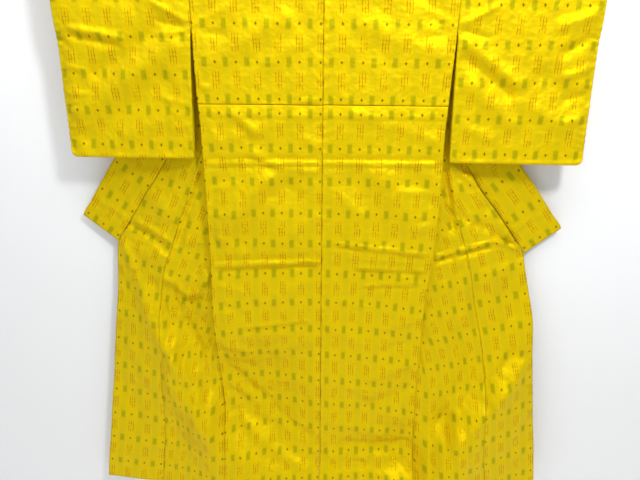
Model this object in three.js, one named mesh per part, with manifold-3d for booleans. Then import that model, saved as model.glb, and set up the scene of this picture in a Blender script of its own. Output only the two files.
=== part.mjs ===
// A lined silk kimono hung on a round rail, with its back to the viewer and both fronts opened
// outwards behind the back, so that the wide collar ends stand out below the sleeves.
//
// Frame, in millimetres: X to the viewer's right, Y away from the viewer, Z up. The origin is the
// centre of the rail. Cloth positions are given as
//   out   distance from the centre line, to the left or the right
//   down  length of cloth below the top of the shoulder fold, which lies on top of the rail
//   deep  distance behind the plane in which the upper back hangs
// Every cloth is a wall of even thickness about the middle surface that a function gives.
import * as THREE from 'three';
import Module from 'manifold-3d';
import { mergeVertices } from 'three/addons/utils/BufferGeometryUtils.js';

// Driving sizes
const CLOTH = 1.6;
const SEAM_GAP = 0.3;
const RAIL = { radius: 12, length: 1380, sides: 32, gap: 0.5 };
const NECK = { half: 85, drop: 27 };
const TUCK = { left: 397, right: 396, pleat: 25, reach: 6 };
const SLEEVE = { cuff: 627, drop: 535, armhole: 217, cuffOpening: 235, corner: 15 };
const SWING = { left: 4, right: 10 };
const SLEEVE_HALF_DEPTH = { hem: 7.5, edge: 1.3 };
const COLLAR = { endWidth: 116, neckWidth: 57, end: 904 };
const KENSAKI = 255;
const FRONT_HEM = 1684;
const BACK_HEM = 1593;
const BEND = 14;

// Radius of the cloth's middle surface on the rail, and its quarter turn
const WRAP = RAIL.radius + RAIL.gap + CLOTH / 2;
const QUARTER = (WRAP * Math.PI) / 2;
const TURN = [0.25, 0.5, 0.75, 1].map((share) => share * QUARTER);

const COLOURS = { silk: 0xd8b400, collar: 0xd2ae00, rail: 0xb08a5a };

const table = (columns, rows) =>
  rows.map((row) => Object.fromEntries(columns.map((name, i) => [name, row[i]])));

// The line down each side where back and front are sewn together
const SIDE_COLUMNS = ['down', 'out', 'deep'];
const SIDE = {
  left: table(SIDE_COLUMNS, [
    [0, 308.7, 0], [217, 305, 0], [362, 303, 0], [423, 300, 0], [509, 298, 0], [639, 296, 0],
    [806, 295, 4], [875, 297, 8], [960, 300, 12], [1045, 298, 14], [1130, 296, 34],
    [1215, 294, 50], [1298, 288, 46], [1382, 286, 12], [1462, 286, -10], [1540, 290, -20],
    [1603, 294, -30],
  ]),
  right: table(SIDE_COLUMNS, [
    [0, 308.7, 0], [217, 305, 0], [362, 300, 0], [480, 296, 0], [627, 297, 0], [792, 292, 4],
    [868, 285, 10], [955, 280, 10], [1040, 278, 12], [1125, 277, 15], [1210, 277, 20],
    [1297, 278, 22], [1375, 279, 28], [1450, 281, 26], [1520, 284, -12], [1582, 286, -34],
  ]),
};

// Each back half, by its cloth: how low it hangs at the centre seam and at the side, and how deep
// it lies at the centre seam, half way out and near the side
const BACK_COLUMNS = ['cloth', 'down', 'sideDown', 'seamDeep', 'midDeep', 'outerDeep'];
const BACK = {
  left: table(BACK_COLUMNS, [
    [0, 0, 0, 0, 0, 0], [589, 587, 590, 0, 0, 0], [674, 670, 675, 0, -9, -4],
    [760, 754, 762, 0, -5, 0], [845, 842, 858, 6, 6, 6], [931, 928, 955, 6, 6, 6],
    [1016, 1010, 1042, 8, 6, 8], [1102, 1096, 1128, 13, 32, 27], [1187, 1181, 1212, 13, 49, 54],
    [1273, 1267, 1297, 16, 53, 60], [1358, 1352, 1380, 17, 44, 38], [1444, 1437, 1460, 18, 21, -10],
    [1529, 1516, 1538, -10, -18, -32], [1593, 1577, 1601, -30, -45, -45],
  ]),
  right: table(BACK_COLUMNS, [
    [0, 0, 0, 0, 0, 0], [589, 587, 588, 0, 0, 0], [674, 670, 674, 0, -4, 0],
    [760, 754, 762, 0, -2, 0], [845, 842, 858, 6, 8, 5], [931, 928, 950, 6, 10, 5],
    [1016, 1010, 1036, 8, 10, 11], [1102, 1096, 1121, 13, 6, 14], [1187, 1181, 1206, 13, 10, 18],
    [1273, 1267, 1293, 16, 18, 14], [1358, 1352, 1373, 17, 22, 31], [1444, 1437, 1450, 18, 33, 45],
    [1529, 1516, 1520, -10, 8, -8], [1593, 1577, 1580, -30, -12, -36],
  ]),
};

// Each opened front, by its cloth: the soft crease where it turns back (fold), the seam to the
// overlap panel (seam), and the collar seam or front edge (edge)
const FRONT_COLUMNS = [
  'cloth', 'foldOut', 'foldDeep', 'foldDown', 'seamOut', 'seamDeep', 'seamDown',
  'edgeOut', 'edgeDeep', 'edgeDown',
];
const FRONT = {
  left: table(FRONT_COLUMNS, [
    [0, 86, 26.6, 0, 82, 26.6, 0, 82, 26.6, 0],
    [21, 91, 26.6, 21, 82, 27.4, 21, 82, 27.4, 21],
    [50, 98, 24, 49, 92, 44, 47, 92, 44, 47],
    [90, 105, 21, 89, 127, 50, 80, 127, 50, 80],
    [150, 113, 19, 149, 160, 52, 132, 160, 52, 132],
    [255, 129, 17, 254, 214, 52, 223, 214, 52, 223],
    [450, 164, 16, 450, 273, 42, 410, 317, 52, 396],
    [680, 205, 16, 686, 345, 29, 628, 435, 55, 596],
    [765, 220, 16, 770, 378, 29, 711, 484, 62, 667],
    [851, 235, 17, 850, 404, 30, 785, 535, 68, 745],
    [904, 246, 18, 892, 421, 30, 826, 562, 72, 786],
    [936, 252, 19, 916, 431, 29, 853, 569, 70, 825],
    [1022, 270, 24, 982, 448, 28, 941, 575, 66, 907],
    [1107, 292, 32, 1055, 457, 26, 1022, 588, 64, 995],
    [1193, 316, 45, 1137, 457, 22, 1112, 602, 62, 1084],
    [1278, 318, 52, 1224, 469, 30, 1192, 614, 60, 1172],
    [1364, 322, 14, 1304, 473, 40, 1277, 629, 60, 1264],
    [1449, 324, -12, 1388, 474, 46, 1362, 643, 60, 1351],
    [1535, 326, -2, 1468, 483, 50, 1449, 658, 60, 1442],
    [1620, 330, 0, 1545, 496, 52, 1541, 673, 60, 1530],
    [1684, 334, -8, 1606, 502, 50, 1605, 682, 58, 1597],
  ]),
  right: table(FRONT_COLUMNS, [
    [0, 86, 26.6, 0, 82, 26.6, 0, 82, 26.6, 0],
    [21, 91, 26.6, 21, 82, 27.4, 21, 82, 27.4, 21],
    [50, 98, 24, 49, 92, 44, 47, 92, 44, 47],
    [90, 105, 21, 89, 124, 50, 80, 124, 50, 80],
    [150, 113, 19, 149, 152, 52, 134, 152, 52, 134],
    [255, 129, 17, 254, 199, 52, 226, 199, 52, 226],
    [450, 164, 16, 450, 256, 36, 412, 290, 50, 396],
    [680, 205, 16, 682, 305, 20, 619, 392, 52, 594],
    [765, 220, 16, 762, 354, 24, 700, 455, 58, 675],
    [851, 234, 17, 838, 380, 30, 772, 514, 66, 755],
    [904, 242, 18, 884, 396, 32, 822, 545, 72, 797],
    [936, 247, 18, 910, 405, 34, 858, 549, 66, 823],
    [1022, 258, 20, 985, 424, 42, 943, 570, 58, 909],
    [1107, 276, 24, 1065, 445, 44, 1028, 588, 46, 994],
    [1193, 296, 28, 1150, 462, 42, 1112, 598, 40, 1080],
    [1278, 310, 28, 1234, 472, 14, 1192, 608, 38, 1163],
    [1364, 314, 28, 1318, 474, -16, 1270, 619, 36, 1246],
    [1449, 316, 4, 1390, 478, -25, 1350, 631, 36, 1330],
    [1535, 318, -24, 1462, 486, -22, 1433, 644, 36, 1414],
    [1620, 322, -46, 1528, 497, -20, 1520, 655, 36, 1498],
    [1684, 325, -52, 1592, 503, -20, 1583, 663, 36, 1560],
  ]),
};

// The large folds of each opened front below the turned-back part: how much deeper the cloth lies
// than the straight line, a quarter, half and three quarters of the way from fold to seam, and a
// third of the way from seam to edge
const SWAG_COLUMNS = ['cloth', 'quarter', 'half', 'threeQuarters', 'overlap'];
const SWAG = {
  left: table(SWAG_COLUMNS, [
    [0, 0, 0, 0, 0], [936, 0, 0, 0, 0], [1022, 3, 12, 14, 0], [1107, 14, 19, 14, -3],
    [1193, 8, 4, -16, 1], [1278, -10, -29, -26, 6], [1364, -25, -17, -8, 5],
    [1449, 2, 7, 8, -1], [1535, 9, 14, 10, -3], [1620, 10, 10, 5, -4], [1684, 4, 8, 6, -3],
  ]),
  right: table(SWAG_COLUMNS, [
    [0, 0, 0, 0, 0], [936, 0, 0, 0, -4], [1022, -4, -4, 0, 4], [1107, -2, -1, 2, 3],
    [1193, 2, -3, 6, -9], [1278, 4, 14, 12, -24], [1364, 14, -6, -8, -12],
    [1449, -16, -38, -24, 0], [1535, -30, -36, -20, 4], [1620, -14, -18, -10, 4],
    [1684, -8, -14, -8, 2],
  ]),
};

// How far the edge of each sleeve stands away from the body below the armhole, where it hangs free
const SLEEVE_AWAY = {
  left: table(['down', 'out'], [[217, 0], [240, 2.7], [362, 9], [530, 15]]),
  right: table(['down', 'out'], [[217, 0], [240, 1.7], [362, 4], [530, 8]]),
};

// Where the columns of a body panel lie on its back: share of the half width from the centre seam,
// at the shoulder, where they meet the columns of the front, and lower down
const COLUMNS = table(['u', 'atShoulder', 'below'], [
  [0, 1, 1], [1, 0.2786, 0.77], [1.25, 0.269, 0.69], [1.5, 0.256, 0.61], [1.75, 0.236, 0.53],
  [2, 0.207, 0.45], [2.15, 0.178, 0.38], [2.32, 0.146, 0.305], [2.5, 0.11, 0.23],
  [2.68, 0.071, 0.15], [2.84, 0.036, 0.075], [3, 0, 0],
]);

// The collar's way round the neck, from the centre of the back to where it passes over the rail:
// its lower edge, and how far its upper edge leans out to the side
const NAPE = table(['step', 'out', 'y', 'z', 'lean'], [
  [0, 0, -13.3, -5.4, 0], [1, 30, -13.4, -5.2, 0.02], [2, 50, -13.6, -3.8, 0.08],
  [3, 64, -14.6, 0.6, 0.16], [4, 74, -13.8, 6.8, 0.24], [5, 81.5, -7.5, 13.4, 0.3],
  [6, 82.7, 0.2, 15.5, 0.33],
]);
const COLLAR_LEAN = 0.79;

const clamp = (value, low, high) => Math.min(Math.max(value, low), high);
const mix = (a, b, t) => a + (b - a) * t;
const ease = (from, to, value) => THREE.MathUtils.smoothstep(value, from, to);

// A smooth curve through a table's column that never swings past its values
function follow(rows, by, name) {
  const x = rows.map((row) => row[by]);
  const y = rows.map((row) => row[name]);
  const rise = x.slice(1).map((value, i) => (y[i + 1] - y[i]) / (value - x[i]));
  const slope = x.map((_, i) => {
    const before = rise[Math.max(i - 1, 0)];
    const after = rise[Math.min(i, rise.length - 1)];
    return before * after > 0 ? (2 * before * after) / (before + after) : 0;
  });
  return (value) => {
    const at = clamp(value, x[0], x[x.length - 1]);
    const i = Math.min(x.findLastIndex((start) => start <= at), rise.length - 1);
    const step = x[i + 1] - x[i];
    const t = (at - x[i]) / step;
    const h = t * t * (3 - 2 * t);
    return mix(y[i], y[i + 1], h) +
      step * t * (1 - t) * (slope[i] * (1 - t) - slope[i + 1] * t);
  };
}

const followAll = (rows, by) =>
  Object.fromEntries(Object.keys(rows[0]).map((name) => [name, follow(rows, by, name)]));

const steps = (from, to, count) =>
  Array.from({ length: count + 1 }, (_, i) => from + ((to - from) * i) / count);

// Cloth that lies over the rail: its distance from the rail's middle plane, and its height
function overRail(down) {
  if (down >= QUARTER) return { y: WRAP, z: QUARTER - down };
  const turn = down / WRAP;
  return { y: WRAP * Math.sin(turn), z: WRAP * Math.cos(turn) };
}

const SIGN = { left: -1, right: 1 };

const onBack = (side, out, down, deep) => {
  const hung = overRail(down);
  return new THREE.Vector3(SIGN[side] * out, deep - hung.y, hung.z);
};

const onFront = (side, out, down, deep) => {
  const hung = overRail(down);
  return new THREE.Vector3(SIGN[side] * out, deep - 2 * WRAP + hung.y, hung.z);
};

// Triangles into a geometry whose faces point out
function solid(points, faces) {
  let volume = 0;
  for (const [a, b, c] of faces) {
    volume += points[a].dot(new THREE.Vector3().crossVectors(points[b], points[c]));
  }
  const outward = volume > 0 ? faces : faces.map(([a, b, c]) => [a, c, b]);
  const geometry = new THREE.BufferGeometry();
  geometry.setAttribute('position', new THREE.Float32BufferAttribute(
    points.flatMap((p) => [p.x, p.y, p.z]), 3));
  geometry.setIndex(outward.flat());
  geometry.computeVertexNormals();
  return geometry;
}

// A wall about a surface: two skins and the edges between them. A row is a pair of a place(u, v)
// and a v; inset keeps the first and last column back from the seams; open leaves cells out; with
// closed set, the last row joins the first and the wall is a tube.
function wall(rows, us, { thickness = CLOTH, inset = [0, 0], closed = false, open } = {}) {
  const small = 0.01;
  const skins = [[], []];
  for (const { place, v } of rows) {
    us.forEach((u, i) => {
      const across = place(u + small, v).sub(place(u - small, v));
      const along = place(u, v + small).sub(place(u, v - small));
      const normal = across.clone().cross(along).normalize().multiplyScalar(thickness / 2);
      const shift = (i === 0 ? inset[0] : 0) - (i === us.length - 1 ? inset[1] : 0);
      const middle = place(u, v).add(across.normalize().multiplyScalar(shift));
      skins[0].push(middle.clone().add(normal));
      skins[1].push(middle.clone().sub(normal));
    });
  }
  const nu = us.length;
  const nv = rows.length;
  const at = (skin, i, j) => skin * nu * nv + (j % nv) * nu + i;
  const present = (i, j) => i >= 0 && i < nu - 1 && (closed || (j >= 0 && j < nv - 1)) &&
    !(open && open(us[i], rows[j].v));
  const faces = [];
  const quad = (a, b, c, d) => faces.push([a, b, c], [a, c, d]);
  const edge = (i, j, k, l) => quad(at(0, i, j), at(0, k, l), at(1, k, l), at(1, i, j));
  for (let j = 0; j < (closed ? nv : nv - 1); j += 1) {
    for (let i = 0; i < nu - 1; i += 1) {
      if (!present(i, j)) continue;
      quad(at(0, i, j), at(0, i + 1, j), at(0, i + 1, j + 1), at(0, i, j + 1));
      quad(at(1, i, j), at(1, i, j + 1), at(1, i + 1, j + 1), at(1, i + 1, j));
      if (!present(i - 1, j)) edge(i, j, i, j + 1);
      if (!present(i + 1, j)) edge(i + 1, j + 1, i + 1, j);
      if (!present(i, j - 1)) edge(i + 1, j, i, j);
      if (!present(i, j + 1)) edge(i, j + 1, i + 1, j + 1);
    }
  }
  return solid([...skins[0], ...skins[1]], faces);
}

const rowsOf = (place, vs) => vs.map((v) => ({ place, v }));

const part = new THREE.Group();

function add(name, geometry, colour, roughness) {
  const material = new THREE.MeshStandardMaterial({ color: colour, roughness, metalness: 0 });
  const mesh = new THREE.Mesh(geometry, material);
  mesh.name = name;
  part.add(mesh);
}

// The tuck sewn into each back half: from the line the cloth turns in, goes down behind, turns and
// comes up again between the layers, and goes on below the line. Distances behind the panel and
// below the line, with the length of cloth that leads there.
function tuckFold() {
  const layer = CLOTH + SEAM_GAP;
  const r = layer / 2;
  const bottom = TUCK.pleat - r;
  const points = [
    [0, -TUCK.reach], [0, -3.2], [0.35, -2.35], [1.2, -2], [1.6 * layer, -1.24], [2 * layer, 0.6],
    [2 * layer, bottom], [1.85 * layer, bottom + 0.7 * r], [1.5 * layer, bottom + r],
    [1.15 * layer, bottom + 0.7 * r], [layer, bottom], [layer, 2.2],
    [0.85 * layer, 2.2 - 0.7 * r], [0.5 * layer, 2.2 - r], [0.15 * layer, 2.2 - 0.7 * r],
    [0, 2.2], [0, TUCK.reach],
  ];
  let cloth = 0;
  return points.map(([behind, below], i) => {
    if (i > 0) cloth += Math.hypot(behind - points[i - 1][0], below - points[i - 1][1]);
    return { cloth, behind, below };
  });
}

const FOLD = tuckFold();
const FOLD_CLOTH = FOLD.at(-1).cloth;
const HIDDEN = FOLD_CLOTH - 2 * TUCK.reach;

// Back half: u as in the front, from the side (0) to the centre seam (3), v minus the length of
// cloth from the shoulder. The neckline cuts into its top, so the first rows start lower there.
function backSurface(side) {
  const edge = followAll(SIDE[side], 'down');
  const hang = followAll(BACK[side], 'cloth');
  const column = followAll(COLUMNS, 'u');
  const fold = followAll(FOLD, 'cloth');
  const foldStart = TUCK[side] - TUCK.reach;
  return (u, v) => {
    const inFold = clamp(-v - foldStart, 0, FOLD_CLOTH);
    const shown = -v - inFold + (inFold > 0 ? fold.below(inFold) + TUCK.reach : 0);
    const share = mix(column.atShoulder(u), column.below(u), ease(20, 150, shown)) -
      Math.max(u - 3, 0) * 0.4 + Math.max(-u, 0) * 0.3;
    const neck = NECK.drop * (1 - Math.min((share * 308.7) / NECK.half, 1) ** 6);
    const cloth = shown + neck * (1 - ease(0, 120, shown));
    const sideDown = hang.sideDown(cloth);
    const down = mix(hang.down(cloth), sideDown, Math.abs(share) ** 2.5);
    const across = [
      { at: -0.5, deep: hang.midDeep(cloth) }, { at: 0, deep: hang.seamDeep(cloth) },
      { at: 0.5, deep: hang.midDeep(cloth) }, { at: 0.84, deep: hang.outerDeep(cloth) },
      { at: 1, deep: edge.deep(sideDown) }, { at: 1.2, deep: edge.deep(sideDown) },
    ];
    const out = edge.out(sideDown) * share;
    return onBack(side, out, down, follow(across, 'at', 'deep')(share) + fold.behind(inFold));
  };
}

const backDown = (side) => [
  0, ...TURN, 35, 60, 100, ...steps(150, 370, 4),
  ...FOLD.map(({ cloth }) => TUCK[side] - TUCK.reach + cloth),
  ...steps(450, 931, 8).map((v) => v + HIDDEN), ...steps(970, BACK_HEM, 16).map((v) => v + HIDDEN),
];

// Opened front and overlap panel as one surface, by v, the cloth from the shoulder, and by u:
// 0 to 1 the strip behind the back, 1 to 2 the bend where the cloth turns back, 2 to 3 the rest of
// the front, 3 to 4 the overlap panel
function frontSurface(side) {
  const edge = followAll(SIDE[side], 'down');
  const hang = followAll(FRONT[side], 'cloth');
  const swag = followAll(SWAG[side], 'cloth');
  const sideDown = follow(table(['cloth', 'down'], [
    [0, 0], [217, 214], [450, 425], [680, 630], [936, 876], [1022, 960], [1193, 1130],
    [1364, 1298], [1535, 1462], [FRONT_HEM, SIDE[side].at(-1).down],
  ]), 'cloth', 'down');
  return (u, v) => {
    const down = sideDown(v);
    const behindTuck = 4 * (CLOTH + SEAM_GAP);
    const apart = mix(2 * WRAP, behindTuck, ease(SLEEVE.armhole, 362, down));
    const start = {
      out: edge.out(down), down,
      deep: edge.deep(down) + mix(apart, CLOTH + SEAM_GAP, ease(430, 500, down)) +
        1.5 * ease(620, 700, down) + 1.5 * ease(960, 1080, down),
    };
    const fold = { out: hang.foldOut(v), down: hang.foldDown(v), deep: hang.foldDeep(v) };
    const seam = { out: hang.seamOut(v), down: hang.seamDown(v), deep: hang.seamDeep(v) };
    const rim = { out: hang.edgeOut(v), down: hang.edgeDown(v), deep: hang.edgeDeep(v) };
    const along = (a, b, t) =>
      onFront(side, mix(a.out, b.out, t), mix(a.down, b.down, t), mix(a.deep, b.deep, t));
    if (u > 3) {
      const sag = follow([{ t: 0, s: 0 }, { t: 0.35, s: swag.overlap(v) }, { t: 1, s: 0 }], 't', 's');
      return along(seam, rim, u - 3).add(new THREE.Vector3(0, sag(u - 3), 0));
    }
    // Directions in plan: 0 points to the centre line, a quarter turn points away from the viewer
    const heading = (from, to) => {
      const angle = Math.atan2(to.deep - from.deep, from.out - to.out);
      return angle < -Math.PI / 2 ? angle + 2 * Math.PI : angle;
    };
    const inward = heading(start, fold);
    const difference = heading(fold, seam) - inward;
    const turn = Math.sign(difference || 1) * Math.max(Math.abs(difference), 0.05);
    const reach = Math.hypot(seam.out - fold.out, seam.deep - fold.deep);
    const bend = Math.min(BEND, reach * 0.7);
    const radius = bend / turn;
    const onBend = (t) => {
      const now = inward + turn * t;
      return {
        out: fold.out - radius * (Math.sin(now) - Math.sin(inward)),
        deep: fold.deep - radius * (Math.cos(now) - Math.cos(inward)),
        down: mix(fold.down, seam.down, (t * bend) / (reach + bend)),
      };
    };
    if (u <= 1) return along(start, onBend(0), u);
    if (u <= 2) return along(onBend(u - 1), onBend(u - 1), 0);
    const t = u - 2;
    const sag = follow([
      { t: 0, s: 0 }, { t: 0.25, s: swag.quarter(v) }, { t: 0.5, s: swag.half(v) },
      { t: 0.75, s: swag.threeQuarters(v) }, { t: 1, s: 0 },
    ], 't', 's');
    return along(onBend(1), seam, t).add(new THREE.Vector3(0, sag(t), 0));
  };
}

const FRONT_DOWN = [
  ...TURN, 35, 50, 70, 90, 120, 150, 200, KENSAKI, KENSAKI + 35, ...steps(345, 851, 8), COLLAR.end,
  ...steps(945, FRONT_HEM, 16),
];
const PANEL_ACROSS = [0, 0.33, 0.67, 1, 1.25, 1.5, 1.75, 2, 2.15, 2.32, 2.5, 2.68, 2.84, 3];
const OVERLAP_ACROSS = [3, 3.25, 3.5, 3.75, 4];

// Sleeve: u runs from the body (0) to the cuff (1), v once round the tube: 0 to 1 up the near
// wall, 1 to 2 down the far wall
function sleeveSurface(side) {
  const sewn = follow(SIDE[side], 'down', 'out');
  const away = follow(SLEEVE_AWAY[side], 'down', 'out');
  const inner = (down) => sewn(Math.min(down, SLEEVE.armhole)) + SEAM_GAP + away(down);
  const outAt = (u, down) =>
    mix(inner(down), SLEEVE.cuff + SWING[side] * (down / SLEEVE.drop) ** 2, u);
  return (u, v) => {
    const corner = Math.max((u - 1) * (SLEEVE.cuff - 310) + SLEEVE.corner, 0);
    const lift = SLEEVE.corner - Math.sqrt(Math.max(SLEEVE.corner ** 2 - corner ** 2, 0));
    const length = SLEEVE.drop - lift;
    const wrapped = ((v % 2) + 2) % 2;
    const share = wrapped < 1 ? 1 - wrapped : wrapped - 1;
    const down = share * length;
    const hung = overRail(down);
    const settle = ease(mix(SLEEVE.armhole, QUARTER, u), mix(500, 424, u), down);
    const round = Math.sqrt(Math.max(1 - clamp((down - length + 9) / 9, 0, 1) ** 2, 0));
    const narrow = ease(0.9, 1, u) * ease(200, 265, down);
    const full = mix(hung.y, Math.min(hung.y, SLEEVE_HALF_DEPTH.hem), settle);
    const half = mix(full, Math.min(full, SLEEVE_HALF_DEPTH.edge), narrow) * round;
    const y = wrapped < 1 ? -half : half;
    return new THREE.Vector3(SIGN[side] * outAt(u, down), y, hung.z);
  };
}

const SLEEVE_ACROSS = [0, 0.16, 0.32, 0.48, 0.64, 0.8, 0.935, 0.96, 0.982, 1];
const SLEEVE_WALL = [
  0, 4 / 530, 9 / 530, 20 / 530, 0.09, 0.18, 0.28, 0.38, 0.48, 0.53, 0.57, 0.64, 0.74, 0.86,
  ...TURN.map((down) => 1 - down / SLEEVE.drop).reverse(),
];
const SLEEVE_ROUND = [...SLEEVE_WALL, 1, ...SLEEVE_WALL.slice(1).map((v) => 2 - v).reverse()];

// Collar: u across it, v along it from the nape, negative to the left: as far as 1 round the neck,
// from there 1 and the length of the front's cloth
function collarSurface() {
  const fronts = {
    left: followAll(FRONT.left, 'cloth'), right: followAll(FRONT.right, 'cloth'),
  };
  const nape = followAll(NAPE, 'step');
  return (u, v) => {
    const side = v < 0 ? 'left' : 'right';
    const far = Math.abs(v);
    if (far < 1) {
      const step = far * (NAPE.length - 1);
      const lean = nape.lean(step);
      const across = new THREE.Vector3(SIGN[side] * lean, 0.1 * far, Math.sqrt(1 - lean * lean));
      return new THREE.Vector3(SIGN[side] * nape.out(step), nape.y(step), nape.z(step))
        .add(across.normalize().multiplyScalar(COLLAR.neckWidth * u));
    }
    const cloth = far - 1;
    const hang = fronts[side];
    const foot = onFront(side, hang.edgeOut(cloth), hang.edgeDown(cloth), hang.edgeDeep(cloth));
    const width = mix(COLLAR.neckWidth, COLLAR.endWidth, ease(150, 600, cloth));
    const lean = mix(0.33, COLLAR_LEAN, ease(0, 200, cloth));
    const across = new THREE.Vector3(
      SIGN[side] * lean, mix(0.1, 0.06, ease(0, 200, cloth)), Math.sqrt(1 - lean * lean));
    const clear = mix(2.3, 0.6, ease(60, 300, cloth));
    foot.y += 2 * ease(0, 12, cloth) * (1 - ease(180, 300, cloth));
    return foot.add(across.normalize().multiplyScalar(clear + width * u));
  };
}

const COLLAR_HALF = [
  ...steps(0, 1, 6), ...FRONT_DOWN.slice(1).filter((v) => v <= COLLAR.end).map((v) => v + 1),
];
const COLLAR_ALONG = [...COLLAR_HALF.slice(1).map((v) => -v).reverse(), ...COLLAR_HALF];

const wasm = await Module();
wasm.setup();

function toManifold(geometry) {
  const plain = geometry.clone();
  plain.deleteAttribute('normal');
  plain.deleteAttribute('uv');
  const merged = mergeVertices(plain);
  return new wasm.Manifold(new wasm.Mesh({
    numProp: 3,
    vertProperties: new Float32Array(merged.attributes.position.array),
    triVerts: new Uint32Array(merged.index.array),
  }));
}

function fromManifold(body) {
  const mesh = body.getMesh();
  const geometry = new THREE.BufferGeometry();
  geometry.setAttribute('position', new THREE.BufferAttribute(mesh.vertProperties, 3));
  geometry.setIndex(new THREE.BufferAttribute(mesh.triVerts, 1));
  return geometry;
}

// The sewn outer edge of a sleeve, from the cuff opening down to the rounded corner
function sleeveEdge(side) {
  const tube = sleeveSurface(side);
  const length = SLEEVE.drop - SLEEVE.corner;
  const place = (u, v) => {
    const near = tube(1, 1 - v / length);
    return new THREE.Vector3(near.x - SIGN[side] * 1.3, mix(near.y, -near.y, u), near.z);
  };
  return wall(rowsOf(place, steps(SLEEVE.cuffOpening, length - 4, 8)), [0, 1], { thickness: 2.2 });
}

for (const side of ['left', 'right']) {
  const front = frontSurface(side);
  const panel = [
    ...rowsOf(backSurface(side), backDown(side).map((v) => -v).reverse()),
    ...rowsOf(front, FRONT_DOWN),
  ];
  const body = wall(panel, PANEL_ACROSS, {
    inset: [0, SEAM_GAP / 2], open: (u, v) => v === 0 && u >= 1,
  });
  add(`body_${side}`, body, COLOURS.silk, 0.45);
  const overlapRows = rowsOf(front, FRONT_DOWN.filter((v) => v > KENSAKI + 8));
  const overlap = wall(overlapRows, OVERLAP_ACROSS, { inset: [SEAM_GAP / 2, 0] });
  add(`overlap_${side}`, overlap, COLOURS.silk, 0.45);
  const tube = wall(rowsOf(sleeveSurface(side), SLEEVE_ROUND), SLEEVE_ACROSS, {
    closed: true,
  });
  const sleeve = toManifold(tube).add(toManifold(sleeveEdge(side)));
  add(`sleeve_${side}`, fromManifold(sleeve), COLOURS.silk, 0.45);
}
add('collar', wall(rowsOf(collarSurface(), COLLAR_ALONG), [0, 0.33, 0.67, 1]), COLOURS.collar, 0.45);

const rail = new THREE.CylinderGeometry(RAIL.radius, RAIL.radius, RAIL.length, RAIL.sides);
rail.rotateZ(Math.PI / 2);
add('rail', rail, COLOURS.rail, 0.6);

export default part;
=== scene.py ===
"""A lined slub-silk kimono on a display rail, seen from the back.

Positions on the cloth are in millimetres: out is the distance from the centre line, down the
length of cloth below the shoulder fold on top of the rail, deep the distance behind the plane in
which the upper back hangs. Meshes are in metres, X right, Y away from the viewer, Z up, with the
origin at the centre of the rail.
"""
import math

import bpy
import numpy as np
from mathutils import Matrix, Vector


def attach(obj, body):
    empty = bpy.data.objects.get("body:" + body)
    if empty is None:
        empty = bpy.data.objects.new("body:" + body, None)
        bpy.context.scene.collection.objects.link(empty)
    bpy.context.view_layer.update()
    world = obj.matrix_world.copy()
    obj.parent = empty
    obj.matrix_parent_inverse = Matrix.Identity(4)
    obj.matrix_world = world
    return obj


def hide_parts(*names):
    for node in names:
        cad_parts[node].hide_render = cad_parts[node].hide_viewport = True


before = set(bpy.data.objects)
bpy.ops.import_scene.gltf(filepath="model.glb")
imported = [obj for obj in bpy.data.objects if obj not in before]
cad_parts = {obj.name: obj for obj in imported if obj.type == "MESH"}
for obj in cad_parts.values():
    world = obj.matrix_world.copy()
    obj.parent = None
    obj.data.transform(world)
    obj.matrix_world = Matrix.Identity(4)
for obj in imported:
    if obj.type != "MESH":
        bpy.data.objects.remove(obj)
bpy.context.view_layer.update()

# The cloth's wall, the gap at a seam, and the cloth's turn over the rail
CLOTH = 1.6
GAP = 0.3
RAIL_RADIUS, RAIL_CLEAR = 12, 0.5
WRAP = RAIL_RADIUS + RAIL_CLEAR + CLOTH / 2
QUARTER = WRAP * math.pi / 2
# The garment's own measures
SHOULDER_HALF = 308.7
BACK_WIDTH, OVERLAP_WIDTH = 300, 120
NECK_HALF, NECK_DROP = 85, 27
TUCK = {"left": 397, "right": 396}
PLEAT, REACH = 25, 6
SLEEVE = {"cuff": 627, "drop": 535, "armhole": 217, "opening": 235, "corner": 15}
SWING = {"left": 4, "right": 10}
KENSAKI, COLLAR_END = 255, 904
COLLAR_NECK, COLLAR_WIDE = 57.0, 116.0
NAPE_STEPS = 6
FRONT_HEM, BACK_HEM = 1684, 1593
BEND = 14
SIGN = {"left": -1, "right": 1}
# The woven pattern: the distance between its columns and rows, and where it starts on each cloth
COLUMN_PITCH, ROW_PITCH = 49, 85.5
BACK_PATTERN = {"left": (5.3, 383), "right": (-5.2, 383)}
FRONT_PATTERN = (7, 680)
OVERLAP_PATTERN = (383, 680)
SLEEVE_PATTERN = {"left": (351.5, 500.5), "right": (348, 510)}


# Curves through tables

def follow(x, y):
    """A smooth curve through the points (x, y) that never swings past them: on each step a cubic
    whose end slopes are the harmonic mean of the slopes on either side, or 0 at a turn."""
    x, y = np.asarray(x, float), np.asarray(y, float)
    step = np.diff(x)
    rise = np.diff(y) / step
    before, after = np.r_[rise[0], rise], np.r_[rise, rise[-1]]
    same = before * after > 0
    slope = np.where(same, 2 * before * after / np.where(same, before + after, 1), 0)

    def at(value):
        value = np.clip(value, x[0], x[-1])
        i = np.clip(np.searchsorted(x, value, "right") - 1, 0, len(step) - 1)
        t = (value - x[i]) / step[i]
        h = t * t * (3 - 2 * t)
        return y[i] * (1 - h) + y[i + 1] * h + step[i] * t * (1 - t) * (
            slope[i] * (1 - t) - slope[i + 1] * t)
    return at


def table(names, *rows):
    """The columns of a table as curves over its first column."""
    columns = dict(zip(names.split(), np.array(rows, float).T))
    first = next(iter(columns.values()))
    return {name: follow(first, column) for name, column in columns.items()}


def ease(low, high, value):
    """0 below low, 1 above high, and between them three squares less two cubes."""
    t = np.clip((value - low) / (high - low), 0, 1)
    return t * t * (3 - 2 * t)


def mix(a, b, t):
    """A straight blend: a, and t times the way from there to b."""
    return a + (b - a) * t


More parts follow.
